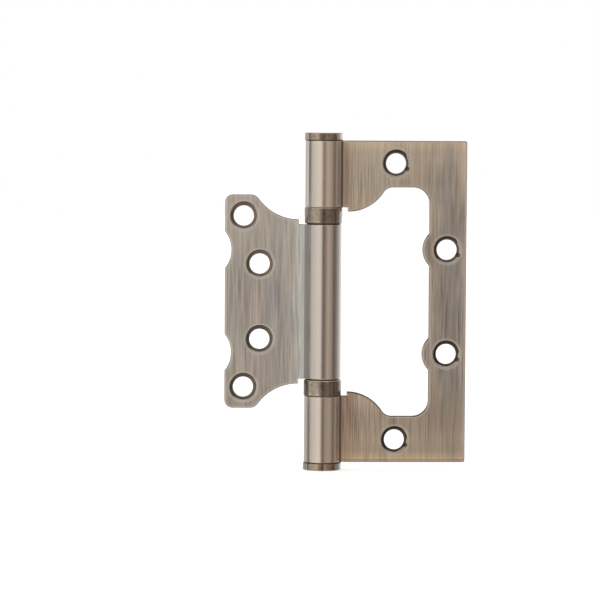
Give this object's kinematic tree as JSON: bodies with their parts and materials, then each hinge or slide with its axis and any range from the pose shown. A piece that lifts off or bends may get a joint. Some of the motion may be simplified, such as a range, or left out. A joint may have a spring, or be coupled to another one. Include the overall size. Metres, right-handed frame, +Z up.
{
  "type": "surface mount hinge",
  "caption": "Non-mortise ball bearing door hinge: a small leaf that folds into the window of a large leaf, with a capped pin and countersunk screw holes.",
  "frame": {"origin": "on the pin axis at the hinge's mid height, which is the line that the door turns about", "axes": "+Z up along the pin, +X from the pin towards the outer edge of the large frame leaf, -Y towards the side of the countersunk faces with the hinge laid open flat"},
  "size_m": [0.075, 0.0118, 0.1048],
  "materials": {
    "frame_bronze": "brushed antique bronze plate on steel",
    "door_bronze": "brushed antique bronze plate on steel",
    "cap_bronze": "dark antique bronze plate, lightly worn",
    "bearing_bronze": "dark antique bronze plate, mottled, with worn brassy rims",
    "pin_steel": "ground steel",
    "race_steel": "hardened steel, light oil",
    "ball_steel": "polished bearing steel",
    "retainer_brass": "stamped brass"
  },
  "bodies": {
    "frame": {"frame_leaf": "frame_bronze", "hinge_pin": "pin_steel", "top_cap": "cap_bronze", "bottom_cap": "cap_bronze", "upper_shell": "bearing_bronze", "upper_frame_race": "race_steel", "lower_shell": "bearing_bronze", "lower_frame_race": "race_steel"},
    "door": {"door_leaf": "door_bronze", "upper_door_race": "race_steel", "lower_door_race": "race_steel"},
    "upper_cage": {"upper_retainer": "retainer_brass", "upper_ball_01": "ball_steel", "upper_ball_02": "ball_steel", "upper_ball_03": "ball_steel", "upper_ball_04": "ball_steel", "upper_ball_05": "ball_steel", "upper_ball_06": "ball_steel", "upper_ball_07": "ball_steel", "upper_ball_08": "ball_steel", "upper_ball_09": "ball_steel", "upper_ball_10": "ball_steel"},
    "lower_cage": {"lower_retainer": "retainer_brass", "lower_ball_01": "ball_steel", "lower_ball_02": "ball_steel", "lower_ball_03": "ball_steel", "lower_ball_04": "ball_steel", "lower_ball_05": "ball_steel", "lower_ball_06": "ball_steel", "lower_ball_07": "ball_steel", "lower_ball_08": "ball_steel", "lower_ball_09": "ball_steel", "lower_ball_10": "ball_steel"}
  },
  "joints": [
    {"name": "door_swing", "type": "hinge", "parent": "frame", "child": "door", "pos_m": [0, 0, 0], "axis": [0, 0, 1], "continuous": true},
    {"name": "upper_cage_turn", "type": "hinge", "parent": "frame", "child": "upper_cage", "pos_m": [0, 0, 0.02645], "axis": [0, 0, 1], "continuous": true},
    {"name": "lower_cage_turn", "type": "hinge", "parent": "frame", "child": "lower_cage", "pos_m": [0, 0, -0.02645], "axis": [0, 0, 1], "continuous": true}
  ],
  "couplings": [
    {"joint": "upper_cage_turn", "follows": "door_swing", "ratio": 0.5},
    {"joint": "lower_cage_turn", "follows": "door_swing", "ratio": 0.5}
  ]
}
